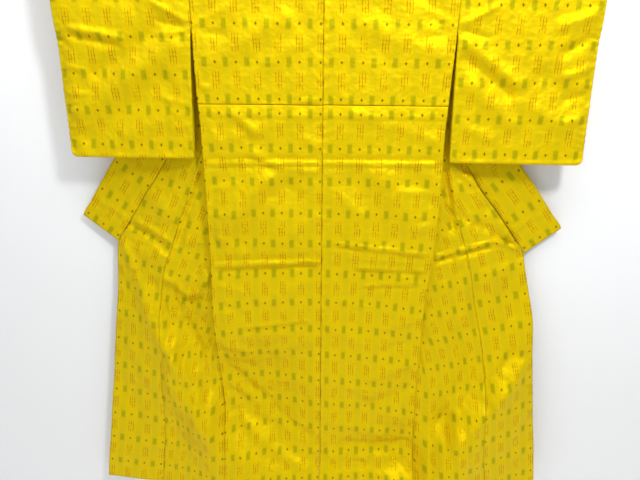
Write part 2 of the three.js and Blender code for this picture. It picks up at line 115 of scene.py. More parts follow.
def bump(value, centre, width):
    """A soft ridge of height 1 across value, with that half width."""
    return np.exp(-((value - centre) / width) ** 2)


SIDE = {
    "left": table(
        "down out deep", (0, SHOULDER_HALF, 0), (217, 305, 0), (362, 303, 0), (423, 300, 0),
        (509, 298, 0), (639, 296, 0), (806, 295, 4), (875, 297, 8), (960, 300, 12),
        (1045, 298, 14), (1130, 296, 34), (1215, 294, 50), (1298, 288, 46), (1382, 286, 12),
        (1462, 286, -10), (1540, 290, -20), (1603, 294, -30)),
    "right": table(
        "down out deep", (0, SHOULDER_HALF, 0), (217, 305, 0), (362, 300, 0), (480, 296, 0),
        (627, 297, 0), (792, 292, 4), (868, 285, 10), (955, 280, 10), (1040, 278, 12),
        (1125, 277, 15), (1210, 277, 20), (1297, 278, 22), (1375, 279, 28), (1450, 281, 26),
        (1520, 284, -12), (1582, 286, -34)),
}
BACK_NAMES = "cloth down sideDown seamDeep midDeep outerDeep"
BACK = {
    "left": table(BACK_NAMES, (0, 0, 0, 0, 0, 0), (589, 587, 590, 0, 0, 0),
                  (674, 670, 675, 0, -9, -4), (760, 754, 762, 0, -5, 0), (845, 842, 858, 6, 6, 6),
                  (931, 928, 955, 6, 6, 6), (1016, 1010, 1042, 8, 6, 8),
                  (1102, 1096, 1128, 13, 32, 27), (1187, 1181, 1212, 13, 49, 54),
                  (1273, 1267, 1297, 16, 53, 60), (1358, 1352, 1380, 17, 44, 38),
                  (1444, 1437, 1460, 18, 21, -10), (1529, 1516, 1538, -10, -18, -32),
                  (1593, 1577, 1601, -30, -45, -45)),
    "right": table(BACK_NAMES, (0, 0, 0, 0, 0, 0), (589, 587, 588, 0, 0, 0),
                   (674, 670, 674, 0, -4, 0), (760, 754, 762, 0, -2, 0), (845, 842, 858, 6, 8, 5),
                   (931, 928, 950, 6, 10, 5), (1016, 1010, 1036, 8, 10, 11),
                   (1102, 1096, 1121, 13, 6, 14), (1187, 1181, 1206, 13, 10, 18),
                   (1273, 1267, 1293, 16, 18, 14), (1358, 1352, 1373, 17, 22, 31),
                   (1444, 1437, 1450, 18, 33, 45), (1529, 1516, 1520, -10, 8, -8),
                   (1593, 1577, 1580, -30, -12, -36)),
}
FRONT_NAMES = ("cloth foldOut foldDeep foldDown seamOut seamDeep seamDown "
               "edgeOut edgeDeep edgeDown quarter half threeQuarters overlap")
FRONT = {
    "left": table(
        FRONT_NAMES,
        (0, 86, 26.6, 0, 82, 26.6, 0, 82, 26.6, 0, 0, 0, 0, 0),
        (21, 91, 26.6, 21, 82, 27.4, 21, 82, 27.4, 21, 0, 0, 0, 0),
        (50, 98, 24, 49, 92, 44, 47, 92, 44, 47, 0, 0, 0, 0),
        (90, 105, 21, 89, 127, 50, 80, 127, 50, 80, 0, 0, 0, 0),
        (150, 113, 19, 149, 160, 52, 132, 160, 52, 132, 0, 0, 0, 0),
        (255, 129, 17, 254, 214, 52, 223, 214, 52, 223, 0, 0, 0, 0),
        (450, 164, 16, 450, 273, 42, 410, 317, 52, 396, 0, 0, 0, 0),
        (680, 205, 16, 686, 345, 29, 628, 435, 55, 596, 0, 0, 0, 0),
        (765, 220, 16, 770, 378, 29, 711, 484, 62, 667, 0, 0, 0, 0),
        (851, 235, 17, 850, 404, 30, 785, 535, 68, 745, 0, 0, 0, 0),
        (904, 246, 18, 892, 421, 30, 826, 562, 72, 786, 0, 0, 0, 0),
        (936, 252, 19, 916, 431, 29, 853, 569, 70, 825, 0, 0, 0, 0),
        (1022, 270, 24, 982, 448, 28, 941, 575, 66, 907, 3, 12, 14, 0),
        (1107, 292, 32, 1055, 457, 26, 1022, 588, 64, 995, 14, 19, 14, -3),
        (1193, 316, 45, 1137, 457, 22, 1112, 602, 62, 1084, 8, 4, -16, 1),
        (1278, 318, 52, 1224, 469, 30, 1192, 614, 60, 1172, -10, -29, -26, 6),
        (1364, 322, 14, 1304, 473, 40, 1277, 629, 60, 1264, -25, -17, -8, 5),
        (1449, 324, -12, 1388, 474, 46, 1362, 643, 60, 1351, 2, 7, 8, -1),
        (1535, 326, -2, 1468, 483, 50, 1449, 658, 60, 1442, 9, 14, 10, -3),
        (1620, 330, 0, 1545, 496, 52, 1541, 673, 60, 1530, 10, 10, 5, -4),
        (1684, 334, -8, 1606, 502, 50, 1605, 682, 58, 1597, 4, 8, 6, -3)),
    "right": table(
        FRONT_NAMES,
        (0, 86, 26.6, 0, 82, 26.6, 0, 82, 26.6, 0, 0, 0, 0, 0),
        (21, 91, 26.6, 21, 82, 27.4, 21, 82, 27.4, 21, 0, 0, 0, 0),
        (50, 98, 24, 49, 92, 44, 47, 92, 44, 47, 0, 0, 0, 0),
        (90, 105, 21, 89, 124, 50, 80, 124, 50, 80, 0, 0, 0, 0),
        (150, 113, 19, 149, 152, 52, 134, 152, 52, 134, 0, 0, 0, 0),
        (255, 129, 17, 254, 199, 52, 226, 199, 52, 226, 0, 0, 0, 0),
        (450, 164, 16, 450, 256, 36, 412, 290, 50, 396, 0, 0, 0, 0),
        (680, 205, 16, 682, 305, 20, 619, 392, 52, 594, 0, 0, 0, 0),
        (765, 220, 16, 762, 354, 24, 700, 455, 58, 675, 0, 0, 0, 0),
        (851, 234, 17, 838, 380, 30, 772, 514, 66, 755, 0, 0, 0, 0),
        (904, 242, 18, 884, 396, 32, 822, 545, 72, 797, 0, 0, 0, 0),
        (936, 247, 18, 910, 405, 34, 858, 549, 66, 823, 0, 0, 0, -4),
        (1022, 258, 20, 985, 424, 42, 943, 570, 58, 909, -4, -4, 0, 4),
        (1107, 276, 24, 1065, 445, 44, 1028, 588, 46, 994, -2, -1, 2, 3),
        (1193, 296, 28, 1150, 462, 42, 1112, 598, 40, 1080, 2, -3, 6, -9),
        (1278, 310, 28, 1234, 472, 14, 1192, 608, 38, 1163, 4, 14, 12, -24),
        (1364, 314, 28, 1318, 474, -16, 1270, 619, 36, 1246, 14, -6, -8, -12),
        (1449, 316, 4, 1390, 478, -25, 1350, 631, 36, 1330, -16, -38, -24, 0),
        (1535, 318, -24, 1462, 486, -22, 1433, 644, 36, 1414, -30, -36, -20, 4),
        (1620, 322, -46, 1528, 497, -20, 1520, 655, 36, 1498, -14, -18, -10, 4),
        (1684, 325, -52, 1592, 503, -20, 1583, 663, 36, 1560, -8, -14, -8, 2)),
}
SIDE_DOWN = {
    side: table("cloth down", (0, 0), (217, 214), (450, 425), (680, 630), (936, 876),
                (1022, 960), (1193, 1130), (1364, 1298), (1535, 1462), (FRONT_HEM, last))["down"]
    for side, last in (("left", 1603), ("right", 1582))}
COLUMNS = table("u atShoulder below", (0, 1, 1), (1, 0.2786, 0.77), (1.25, 0.269, 0.69),
                (1.5, 0.256, 0.61), (1.75, 0.236, 0.53), (2, 0.207, 0.45), (2.15, 0.178, 0.38),
                (2.32, 0.146, 0.305), (2.5, 0.11, 0.23), (2.68, 0.071, 0.15),
                (2.84, 0.036, 0.075), (3, 0, 0))
SLEEVE_AWAY = {
    "left": table("down out", (217, 0), (240, 2.7), (362, 9), (530, 15))["out"],
    "right": table("down out", (217, 0), (240, 1.7), (362, 4), (530, 8))["out"],
}
NAPE = table("step out y z lean", (0, 0, -13.3, -5.4, 0), (1, 30, -13.4, -5.2, 0.02),
             (2, 50, -13.6, -3.8, 0.08), (3, 64, -14.6, 0.6, 0.16), (4, 74, -13.8, 6.8, 0.24),
             (5, 81.5, -7.5, 13.4, 0.3), (6, 82.7, 0.2, 15.5, 0.33))


# Creases. Each runs from one point to another in out and down, with a half width and a height;
# a height above 0 stands towards the viewer. It fades out at both ends. Heights are multiplied by
# the first gain where the half width is above FINE, and by the second up to it.
BROAD_GAIN, FINE_GAIN = 2.6, 2.2
FINE = 8
# Puckers at the centre seam: pitch, depth and spread
SEAM_PUCKERS = {"left": (21, 1.1, 14), "right": (27, 1.7, 24)}


def creases(out, down, rows):
    """The sum of soft ridges: height times a bell across the crease, times an easing to nothing
    at its two ends."""
    total = np.zeros(np.broadcast(out, down).shape)
    for x0, d0, x1, d1, width, height in rows:
        length = math.hypot(x1 - x0, d1 - d0)
        along = ((out - x0) * (x1 - x0) + (down - d0) * (d1 - d0)) / length
        across = ((out - x0) * (d1 - d0) - (down - d0) * (x1 - x0)) / length
        end = min(length * 0.22, 22)
        fade = ease(-end * 0.4, end, along) * (1 - ease(length - end, length + end * 0.4, along))
        gain = BROAD_GAIN if width > FINE else FINE_GAIN
        total += gain * height * fade * np.exp(-(across / width) ** 2)
    return total


BACK_CREASES = {
    "left": [
        (300, 544, 2, 537, 4, 2.6), (300, 534, 2, 527, 7, -1.6), (300, 553, 2, 546, 7, -1.0),
        (190, 508, 92, 552, 9, 2.2), (92, 552, -2, 560, 9, 1.8), (226, 408, 155, 474, 11, 2.2),
        (215, 440, 150, 500, 14, -1.6), (62, 388, 4, 385, 5, 2.4), (272, 755, 193, 627, 20, 2.0),
        (193, 627, 95, 552, 16, 2.6), (240, 760, 150, 640, 22, -1.6),
        (150, 640, 40, 570, 16, -1.8), (50, 470, 4, 500, 14, 1.6), (296, 425, 240, 500, 12, 1.6),
        (298, 352, 268, 360, 7, 2.4), (299, 826, -4, 804, 5, 4.0), (290, 841, 10, 818, 9, -2.6),
        (292, 812, 30, 791, 10, -1.2), (218, 1013, 29, 982, 6, 2.0),
        (212, 1025, 36, 995, 9, -1.6), (130, 557, 279, 748, 30, 3.2),
        (60, 599, 215, 779, 32, -2.6), (215, 539, 298, 639, 20, -2.2),
        (300, 619, 200, 589, 9, 1.2), (300, 679, 215, 669, 11, 1.4),
        (298, 724, 228, 731, 9, -1.2), (40, 419, 296, 499, 16, 1.2), (296, 9, 60, 129, 30, 2.2),
        (70, 189, 300, 309, 26, 2.4), (120, 39, 300, 229, 22, -2.0), (4, 229, 150, 309, 16, 1.0),
        (300, 215, 205, 169, 8, 1.8), (300, 229, 215, 241, 8, -1.6), (4, 669, 90, 739, 18, 1.4),
        (20, 859, 180, 939, 20, 1.6), (294, 879, 190, 909, 12, 1.8),
        (290, 939, 200, 979, 12, -1.6), (10, 1039, 150, 1109, 22, 2.0),
        (295, 1069, 190, 1099, 14, 2.4), (290, 1129, 180, 1169, 15, -2.4),
        (60, 1179, 200, 1239, 18, 2.0), (290, 1209, 150, 1309, 16, 2.6),
        (285, 1309, 120, 1379, 18, -2.2), (292, 1262, 254, 1317, 18, 4.2),
        (254, 1317, 154, 1430, 19, 5.0), (154, 1430, 30, 1500, 18, 4.2),
        (295, 1135, 227, 1216, 14, -3.0), (227, 1216, 120, 1330, 15, -3.2),
        (120, 1330, 20, 1395, 14, -2.4), (59, 1449, -16, 1427, 14, 2.0),
        (250, 1459, 60, 1519, 20, 2.0), (30, 1279, 40, 1399, 16, -1.4),
    ],
    "right": [
        (0, 539, 300, 535, 4, 2.4), (0, 529, 298, 525, 7, -1.6), (0, 549, 298, 545, 7, -0.8),
        (27, 750, 294, 780, 4, 2.6), (30, 762, 290, 791, 6, -1.8), (84, 820, 289, 826, 4, 2.6),
        (80, 831, 286, 837, 6, -1.8), (107, 875, 274, 864, 4, 2.2), (110, 885, 270, 875, 6, -1.4),
        (60, 791, 250, 805, 5, 1.2), (46, 915, 100, 941, 6, 1.8), (90, 941, 150, 939, 6, 1.6),
        (131, 539, 253, 722, 30, 3.2), (60, 559, 190, 759, 30, -2.6),
        (210, 539, 296, 669, 20, -2.0), (4, 599, 120, 679, 20, 1.4),
        (298, 619, 190, 604, 10, 1.4), (296, 679, 220, 691, 10, -1.2),
        (60, 409, 296, 484, 16, 1.2), (296, 19, 70, 149, 30, 2.2), (70, 204, 298, 289, 26, 2.0),
        (110, 49, 296, 219, 24, -2.0), (300, 209, 210, 169, 8, 1.8),
        (298, 227, 220, 247, 8, -1.4), (4, 989, 130, 1059, 20, 1.8),
        (278, 969, 160, 1009, 13, 1.8), (276, 1039, 150, 1089, 14, -1.8),
        (276, 1109, 120, 1179, 16, 2.4), (276, 1194, 130, 1269, 16, -2.2),
        (20, 1159, 160, 1239, 20, 1.6), (16, 1448, 92, 1450, 17, 3.6),
        (92, 1450, 155, 1462, 17, 4.2), (155, 1462, 221, 1460, 17, 4.6),
        (60, 1404, 155, 1418, 11, -2.4), (155, 1418, 221, 1416, 11, -3.0),
        (221, 1416, 290, 1398, 11, -2.6), (221, 1460, 290, 1442, 17, 4.2),
        (20, 1319, 200, 1379, 20, 1.8), (30, 1499, 240, 1519, 18, 1.8),
    ],
}
FRONT_CREASES = {
    "left": [
        (377, 753, 308, 772, 6, 2.2), (316, 560, 352, 665, 8, 2.0), (490, 620, 400, 690, 24, 2.0),
        (520, 800, 420, 830, 22, 2.4), (523, 768, 390, 716, 12, -2.0),
        (605, 665, 517, 716, 6, 2.6), (517, 716, 400, 768, 7, 3.4), (385, 769, 341, 772, 5, 2.4),
        (460, 795, 399, 823, 7, 2.6), (560, 714, 420, 789, 9, -2.4),
        (309, 570, 329, 626, 9, -3.0), (329, 626, 353, 679, 9, -3.4),
        (353, 679, 385, 779, 10, -3.6), (431, 869, 380, 932, 12, 4.5),
        (380, 932, 336, 912, 12, 5.0), (336, 912, 305, 851, 12, 4.0),
        (425, 884, 372, 951, 9, -4.0), (372, 951, 330, 934, 9, -4.5),
        (436, 879, 445, 1009, 8, -2.6), (420, 904, 428, 1019, 7, 2.0),
        (548, 785, 520, 870, 14, 4.0), (520, 870, 471, 1037, 19, 4.8),
        (471, 1037, 431, 1112, 19, 5.0), (431, 1112, 337, 1272, 20, 5.0),
        (432, 885, 399, 1002, 13, -3.2), (399, 1002, 319, 1174, 15, -3.4),
        (365, 1170, 315, 1239, 16, 3.0), (470, 879, 420, 1039, 14, -2.6),
        (560, 1079, 500, 1259, 24, 2.0), (600, 1229, 540, 1399, 24, -1.8),
        (400, 1229, 520, 1399, 26, 1.6), (450, 1429, 640, 1519, 26, 1.4),
        (540, 539, 440, 599, 14, 1.6), (500, 879, 560, 989, 16, -1.6),
        (350, 1309, 400, 1449, 16, 2.0),
    ],
    "right": [
        (310, 590, 338, 735, 11, -3.0), (345, 580, 430, 660, 26, 2.4),
        (430, 660, 505, 755, 20, 2.6), (346, 670, 388, 702, 11, -3.0),
        (388, 702, 442, 722, 12, -3.4), (442, 722, 513, 778, 11, -3.0),
        (317, 537, 355, 570, 9, 3.2), (355, 570, 396, 601, 9, 3.6), (396, 601, 470, 684, 10, 3.6),
        (470, 684, 527, 783, 10, 3.6), (303, 545, 349, 725, 7, -4.0),
        (318, 539, 362, 719, 7, 2.0), (595, 672, 515, 710, 6, 2.4), (515, 710, 471, 747, 6, 2.4),
        (297, 797, 353, 776, 5, 4.0), (353, 776, 456, 753, 5, 4.2), (456, 753, 527, 783, 6, 4.0),
        (300, 813, 360, 792, 7, -4.4), (360, 792, 460, 771, 8, -4.4),
        (357, 790, 372, 829, 6, 2.4), (301, 1168, 337, 1184, 6, 2.4),
        (578, 1105, 548, 1178, 20, 4.6), (548, 1178, 485, 1246, 20, 5.0),
        (485, 1246, 425, 1325, 20, 5.0), (425, 1325, 330, 1400, 20, 4.4),
        (552, 1070, 515, 1140, 13, -2.6), (515, 1140, 450, 1205, 13, -3.0),
        (450, 1205, 395, 1282, 13, -3.0), (395, 1282, 320, 1350, 13, -2.6),
        (576, 918, 566, 1092, 24, 2.0), (420, 879, 440, 1039, 18, -2.4),
        (380, 839, 400, 1019, 16, 2.0), (500, 849, 540, 989, 20, -1.8),
        (330, 859, 360, 1079, 14, 2.0), (600, 1259, 520, 1419, 24, 1.8),
        (400, 1379, 560, 1479, 24, 1.6), (350, 1329, 420, 1459, 16, -2.0),
        (480, 619, 540, 679, 12, -1.6),
    ],
}
SLEEVE_CREASES = {
    "left": [
        (614, 435, 333, 250, 24, 3.6), (600, 499, 360, 329, 22, -2.6),
        (560, 339, 330, 194, 20, -3.0), (600, 224, 470, 247, 9, 3.0),
        (600, 241, 480, 265, 9, -2.6), (620, 99, 430, 69, 20, 2.4),
        (600, 129, 420, 169, 22, -2.0), (420, 9, 320, 149, 16, 2.8),
        (345, 39, 315, 179, 12, -1.8), (312, 211, 400, 164, 7, 2.6), (312, 225, 392, 241, 6, 2.2),
        (312, 229, 400, 204, 8, -2.0), (624, 309, 560, 324, 7, 1.8), (628, 374, 560, 379, 7, 1.8),
        (629, 409, 590, 404, 5, -1.6), (322, 399, 390, 384, 8, 1.8), (322, 449, 380, 459, 8, 1.4),
        (500, 479, 340, 419, 20, 1.6), (620, 249, 590, 279, 8, -1.6),
        (626, 459, 570, 449, 8, 1.6),
    ],
    "right": [
        (320, 276, 453, 376, 15, -3.4), (316, 241, 470, 351, 16, 3.2),
        (330, 329, 470, 449, 20, 2.6), (453, 376, 600, 449, 22, 2.4),
        (500, 309, 620, 399, 22, -2.4), (622, 179, 520, 219, 12, 2.2),
        (622, 229, 540, 279, 12, -2.4), (626, 299, 550, 329, 9, 2.0),
        (628, 359, 560, 384, 9, -1.8), (628, 419, 570, 429, 8, 1.8), (340, -1, 480, 149, 20, 2.6),
        (440, -1, 600, 129, 20, -2.2), (312, 211, 392, 169, 7, 2.6),
        (312, 223, 385, 241, 7, -2.2), (330, 439, 420, 479, 14, 1.6),
        (312, 159, 350, 99, 10, 1.6),
    ],
}


def stitched(distance, along, pitch, depth, spread=12):
    """Puckers beside a seam: a slanting wave along it that dies away over spread mm, its size
    wandering slowly so that no two are alike."""
    wander = 0.55 + 0.45 * np.sin(along / 61.0 + 0.7) * np.sin(along / 23.0)
    wave = np.sin(2 * np.pi * (along + 7 * np.sin(along / 37.0) + 0.35 * distance) / pitch)
    return depth * wander * wave * np.exp(-(distance / spread) ** 2)


def ripple(out, down, height):
    """Slow unevenness of pressed silk: a sum of long waves that cross each other."""
    return height * (np.sin(out / 31.0 + down / 83.0) * np.sin(down / 57.0 - out / 140.0)
                     + 0.6 * np.sin(out / 17.0 - down / 44.0 + 1.3) * np.sin(down / 29.0 + 0.4))


# The cloths as surfaces

def over_rail(down):
    """Cloth over the rail: along the arc as far as a quarter turn, then straight down."""
    turn = np.minimum(down, QUARTER) / WRAP
    return WRAP * np.sin(turn), WRAP * np.cos(turn) - np.maximum(down - QUARTER, 0)


def on_back(side, out, down, deep):
    """Points of the back: over the rail towards the viewer, then down at its depth."""
    y, z = over_rail(down)
    return np.stack([SIGN[side] * out, deep - y, z], -1)


def on_front(side, out, down, deep):
    """Points of the front: over the rail away from the viewer, then down at its depth."""
    y, z = over_rail(down)
    return np.stack([SIGN[side] * out, deep - 2 * WRAP + y, z], -1)


def tuck_fold():
    """The tuck in section: distance behind the panel and below the line against cloth length. The
    cloth turns in, goes down behind, turns, comes up between the layers and turns down again."""
    layer = CLOTH + GAP
    r = layer / 2
    low = PLEAT - r
    points = np.array([
        (0, -REACH), (0, -3.2), (0.35, -2.35), (1.2, -2), (1.6 * layer, -1.24), (2 * layer, 0.6),
        (2 * layer, low), (1.85 * layer, low + 0.7 * r), (1.5 * layer, low + r),
        (1.15 * layer, low + 0.7 * r), (layer, low), (layer, 2.2), (0.85 * layer, 2.2 - 0.7 * r),
        (0.5 * layer, 2.2 - r), (0.15 * layer, 2.2 - 0.7 * r), (0, 2.2), (0, REACH)])
    cloth = np.r_[0, np.cumsum(np.hypot(*np.diff(points, axis=0).T))]
    return cloth, follow(cloth, points[:, 0]), follow(cloth, points[:, 1])


FOLD, FOLD_BEHIND, FOLD_BELOW = tuck_fold()
HIDDEN = FOLD[-1] - 2 * REACH


def back_surface(side, u, cloth):
    """Back half: u from the side (0) to the centre seam (3), cloth from the shoulder with the tuck
    counted. Across, the depth follows a curve through the centre seam, half way, near the side and
    the side; creases, puckers and the tuck's pressed ridge are added to it."""
    in_fold = np.clip(cloth - (TUCK[side] - REACH), 0, FOLD[-1])
    shown = cloth - in_fold + np.where(in_fold > 0, FOLD_BELOW(in_fold) + REACH, 0)
    share = mix(COLUMNS["atShoulder"](u), COLUMNS["below"](u), ease(20, 150, shown))
    neck = NECK_DROP * (1 - np.minimum(share * SHOULDER_HALF / NECK_HALF, 1) ** 6)
    level = shown + neck * (1 - ease(0, 120, shown))
    hang, edge = BACK[side], SIDE[side]
    side_down = hang["sideDown"](level)
    down = mix(hang["down"](level), side_down, share ** 2.5)
    stations = np.stack([hang["midDeep"](level), hang["seamDeep"](level), hang["midDeep"](level),
                         hang["outerDeep"](level), edge["deep"](side_down)], -1)
    deep = across(share, (-0.5, 0, 0.5, 0.84, 1), stations)
    out = edge["out"](side_down) * share
    lower = ease(QUARTER, 60, down)
    seam_pucker = stitched(out, down, *SEAM_PUCKERS[side])
    edge_pucker = stitched(edge["out"](side_down) - out, down, 19, 1.0, 14)
    calm_at_side = 1 - 0.8 * ease(0.9, 1, share)
    relief = creases(out, down, BACK_CREASES[side]) * calm_at_side + seam_pucker + edge_pucker
    relief += ripple(out, down + 40 * SIGN[side], 1.4)
    past_line = down - TUCK[side]
    over_pleat = np.clip(past_line / (PLEAT + 2), 0, 1)
    over_pleat *= 1 - ease(PLEAT + 1, PLEAT + 5, past_line)
    relief += 3.4 * over_pleat + 0.5 * bump(down, TUCK[side] - 3, 4)
    tucked = (in_fold > 0) & (in_fold < FOLD[-1])
    deep = deep + FOLD_BEHIND(in_fold) - relief * lower * np.where(tucked, 0.4, 1)
    return on_back(side, out, down, deep), np.stack([share * BACK_WIDTH, cloth], -1)


def across(share, at, stations):
    """A smooth curve across the panel at each row: the same never-overshooting cubic as follow,
    with its stations' heights changing from row to row."""
    at = np.array(at, float)
    step = np.diff(at)
    rise = np.diff(stations, axis=-1) / step
    before = np.concatenate([rise[..., :1], rise], -1)
    after = np.concatenate([rise, rise[..., -1:]], -1)
    same = before * after > 0
    slope = np.where(same, 2 * before * after / np.where(same, before + after, 1), 0)
    i = np.clip(np.searchsorted(at, share, "right") - 1, 0, len(step) - 1)
    t = (share - at[i]) / step[i]

    def pick(values, k):
        return np.take_along_axis(values, k[..., None], -1)[..., 0]
    h = t * t * (3 - 2 * t)
    return pick(stations, i) * (1 - h) + pick(stations, i + 1) * h + step[i] * t * (1 - t) * (
        pick(slope, i) * (1 - t) - pick(slope, i + 1) * t)


def front_surface(side, u, cloth):
    """Opened front: u 0 to 1 the strip behind the back, 1 to 2 the bend where the cloth turns back,
    2 to 3 the rest of the front, 3 to 4 the overlap panel; cloth from the shoulder. The bend is an
    arc in plan whose length is the cloth's; the rest are straight with the swags added."""
    hang, edge = FRONT[side], SIDE[side]
    down = SIDE_DOWN[side](cloth)
    apart = mix(2 * WRAP, 4 * (CLOTH + GAP), ease(SLEEVE["armhole"], 362, down))
    behind = (mix(apart, CLOTH + GAP, ease(430, 500, down))
              + 1.5 * ease(620, 700, down) + 1.5 * ease(960, 1080, down))
    start = np.stack([edge["out"](down), edge["deep"](down) + behind, down], -1)
    fold, seam, rim = (
        np.stack([hang[name + part](cloth) for part in ("Out", "Deep", "Down")], -1)
        for name in ("fold", "seam", "edge"))

    def heading(a, b):
        angle = np.arctan2(b[..., 1] - a[..., 1], a[..., 0] - b[..., 0])
        return np.where(angle < -np.pi / 2, angle + 2 * np.pi, angle)
    inward = heading(start, fold)
    turn = heading(fold, seam) - inward
    turn = np.where(turn < 0, -1, 1) * np.maximum(np.abs(turn), 0.05)
    reach = np.hypot(seam[..., 0] - fold[..., 0], seam[..., 1] - fold[..., 1])
    bend = np.minimum(BEND, reach * 0.7)
    radius = bend / turn

    def on_bend(t):
        now = inward + turn * t
        return np.stack([
            fold[..., 0] - radius * (np.sin(now) - np.sin(inward)),
            fold[..., 1] - radius * (np.cos(now) - np.cos(inward)),
            mix(fold[..., 2], seam[..., 2], t * bend / (reach + bend))], -1)
    strip, panel, flap = (np.clip(u - first, 0, 1) for first in (0, 2, 3))
    place = np.where((u <= 1)[..., None], mix(start, on_bend(np.zeros_like(u)), strip[..., None]),
                     on_bend(np.clip(u - 1, 0, 1)))
    place = np.where((u > 2)[..., None],
                     mix(on_bend(np.ones_like(u)), seam, panel[..., None]), place)
    place = np.where((u > 3)[..., None], mix(seam, rim, flap[..., None]), place)
    zero = np.zeros_like(cloth)
    swag = across(panel, (0, 0.25, 0.5, 0.75, 1), np.stack(
        [zero, hang["quarter"](cloth), hang["half"](cloth), hang["threeQuarters"](cloth), zero],
        -1))
    swag += across(flap, (0, 0.35, 1), np.stack([zero, hang["overlap"](cloth), zero], -1))
    out, deep, low = place[..., 0], place[..., 1], place[..., 2]
    turned = ease(2, 2.25, u) * ease(60, 200, cloth)
    relief = creases(out, low, FRONT_CREASES[side]) + ripple(out, low + 70 * SIGN[side], 1.2)
    near_seam = np.where(u < 3, (3 - u) * reach, (u - 3) * OVERLAP_WIDTH)
    relief += stitched(near_seam, low, 22, 0.8)
    relief += stitched((4 - u) * OVERLAP_WIDTH, low, 26, 1.0) * (u > 3)
    deep = deep + swag - relief * turned
    width = mix(224 + 0.187 * cloth, 393, ease(900, 908, cloth))
    seam_at = np.interp(cloth, (0, 255, 680, 936, 1684), (224, 272, 257, 249, 225))
    fold_at = np.interp(cloth, (0, 936, 1022, 1684), (210, 48, 42, 40))
    cloth_across = np.select(
        [u <= 1, u <= 2, u <= 3],
        [u * (fold_at - bend / 2), fold_at + (u - 1.5) * bend,
         mix(fold_at + bend / 2, seam_at, u - 2)],
        seam_at + (u - 3) * np.maximum(width - seam_at, 0))
    return on_front(side, out, low, deep), np.stack([cloth_across, cloth], -1)


def sleeve_surface(side, u, v):
    """Sleeve: u from the body to the cuff, v 0 to 1 up the near wall and 1 to 2 down the far wall.
    Half its depth shrinks from the rail's to a few millimetres at the hem, and to nothing along the
    sewn outer edge; the bottom is round in section and its outer corner is a quarter circle."""
    edge, away = SIDE[side]["out"], SLEEVE_AWAY[side]
    corner = np.maximum((u - 1) * (SLEEVE["cuff"] - 310) + SLEEVE["corner"], 0)
    lift = SLEEVE["corner"] - np.sqrt(np.maximum(SLEEVE["corner"] ** 2 - corner ** 2, 0))
    length = SLEEVE["drop"] - lift
    down = np.where(v < 1, 1 - v, v - 1) * length
    inner = edge(np.minimum(down, SLEEVE["armhole"])) + GAP + away(down)
    outer = SLEEVE["cuff"] + SWING[side] * (down / SLEEVE["drop"]) ** 2
    y, z = over_rail(down)
    settle = ease(mix(SLEEVE["armhole"], QUARTER, u), mix(500, 424, u), down)
    close = np.sqrt(np.maximum(1 - np.clip((down - length + 9) / 9, 0, 1) ** 2, 0))
    narrow = ease(0.9, 1, u) * ease(200, 265, down)
    full = mix(y, np.minimum(y, 7.5), settle)
    half = mix(full, np.minimum(full, 1.3), narrow) * close
    out = mix(inner, outer, u)
    relief = creases(out, down, SLEEVE_CREASES[side]) + ripple(out + 50, down, 1.0)
    relief += stitched(outer - out, down, 19, 1.7, 22)
    relief += stitched(out - inner, down, 22, 1.0, 12) + stitched(length - down, out, 34, 1.0, 14)
    relief += 3.2 * (1 - ease(2, 15, length - down)) * (0.7 + 0.3 * np.sin(out / 19.0))
    relief *= ease(QUARTER, 60, down)
    # The far wall keeps a softened share of the same folds, with its own hollows in between
    far = 0.6 * creases(out - 20, down - 25, SLEEVE_CREASES[side]) + ripple(out, down + 90, 0.6)
    far *= ease(QUARTER, 60, down) * close
    y = np.where(v < 1, -half - relief * mix(0.35, 1, close), half + far)
    marks = np.stack([out, np.where(v < 1, down, -down)], -1) - SLEEVE_PATTERN[side]
    return np.stack([SIGN[side] * out, y, z], -1), marks


def collar_surface(u, v):
    """Collar: u across it, v along it from the nape. As far as 1 it stands on the neckline, whose
    points come from a table; from there v less 1 is the front's cloth, the collar's foot follows
    the front's edge, and its width grows from the neck's to the end's."""
    far = np.abs(v)
    sign = np.where(v < 0, -1.0, 1.0)
    step = np.minimum(far, 1) * NAPE_STEPS
    lean = NAPE["lean"](step)
    nape_dir = np.stack([sign * lean, 0.1 * np.minimum(far, 1), np.sqrt(1 - lean ** 2)], -1)
    nape_dir /= np.linalg.norm(nape_dir, axis=-1, keepdims=True)
    nape_foot = np.stack([sign * NAPE["out"](step), NAPE["y"](step), NAPE["z"](step)], -1)
    at_nape = nape_foot + nape_dir * (COLLAR_NECK * u)[..., None]
    cloth = np.maximum(far - 1, 0)
    left, right = (
        on_front(side, *(FRONT[side][name](cloth) for name in ("edgeOut", "edgeDown", "edgeDeep")))
        for side in ("left", "right"))
    foot = np.where((v < 0)[..., None], left, right)
    foot[..., 1] += 2 * ease(0, 12, cloth) * (1 - ease(180, 300, cloth))
    width = mix(COLLAR_NECK, COLLAR_WIDE, ease(150, 600, cloth))
    lean = mix(0.33, 0.79, ease(0, 200, cloth))
    run = np.stack([sign * lean, mix(0.1, 0.06, ease(0, 200, cloth)), np.sqrt(1 - lean ** 2)], -1)
    run /= np.linalg.norm(run, axis=-1, keepdims=True)
    clear = mix(2.3, 0.6, ease(60, 300, cloth))
    at_front = foot + run * (clear + width * u)[..., None]
    place = np.where((far < 1)[..., None], at_nape, at_front)
    # Soft creases across the end parts, and puckers along both long edges
    relief = ease(250, 420, cloth) * (
        2.8 * bump(cloth - 12 * u, 824, 6) - 1.6 * bump(cloth - 12 * u, 838, 8)
        + 1.6 * bump(cloth - 40 * u, 560, 16) + 1.5 * bump(cloth + 90 * u, 850, 12)
        + stitched(width * u, cloth, 24, 0.7) + stitched(width * (1 - u), cloth + 31, 20, 0.6))
    place[..., 1] -= relief * ease(0, 0.15, u)
    marks = np.stack([width * u - 7, (cloth + np.minimum(far, 1) * 110 - 999) * 0.989], -1)
    return place, marks


# Meshes

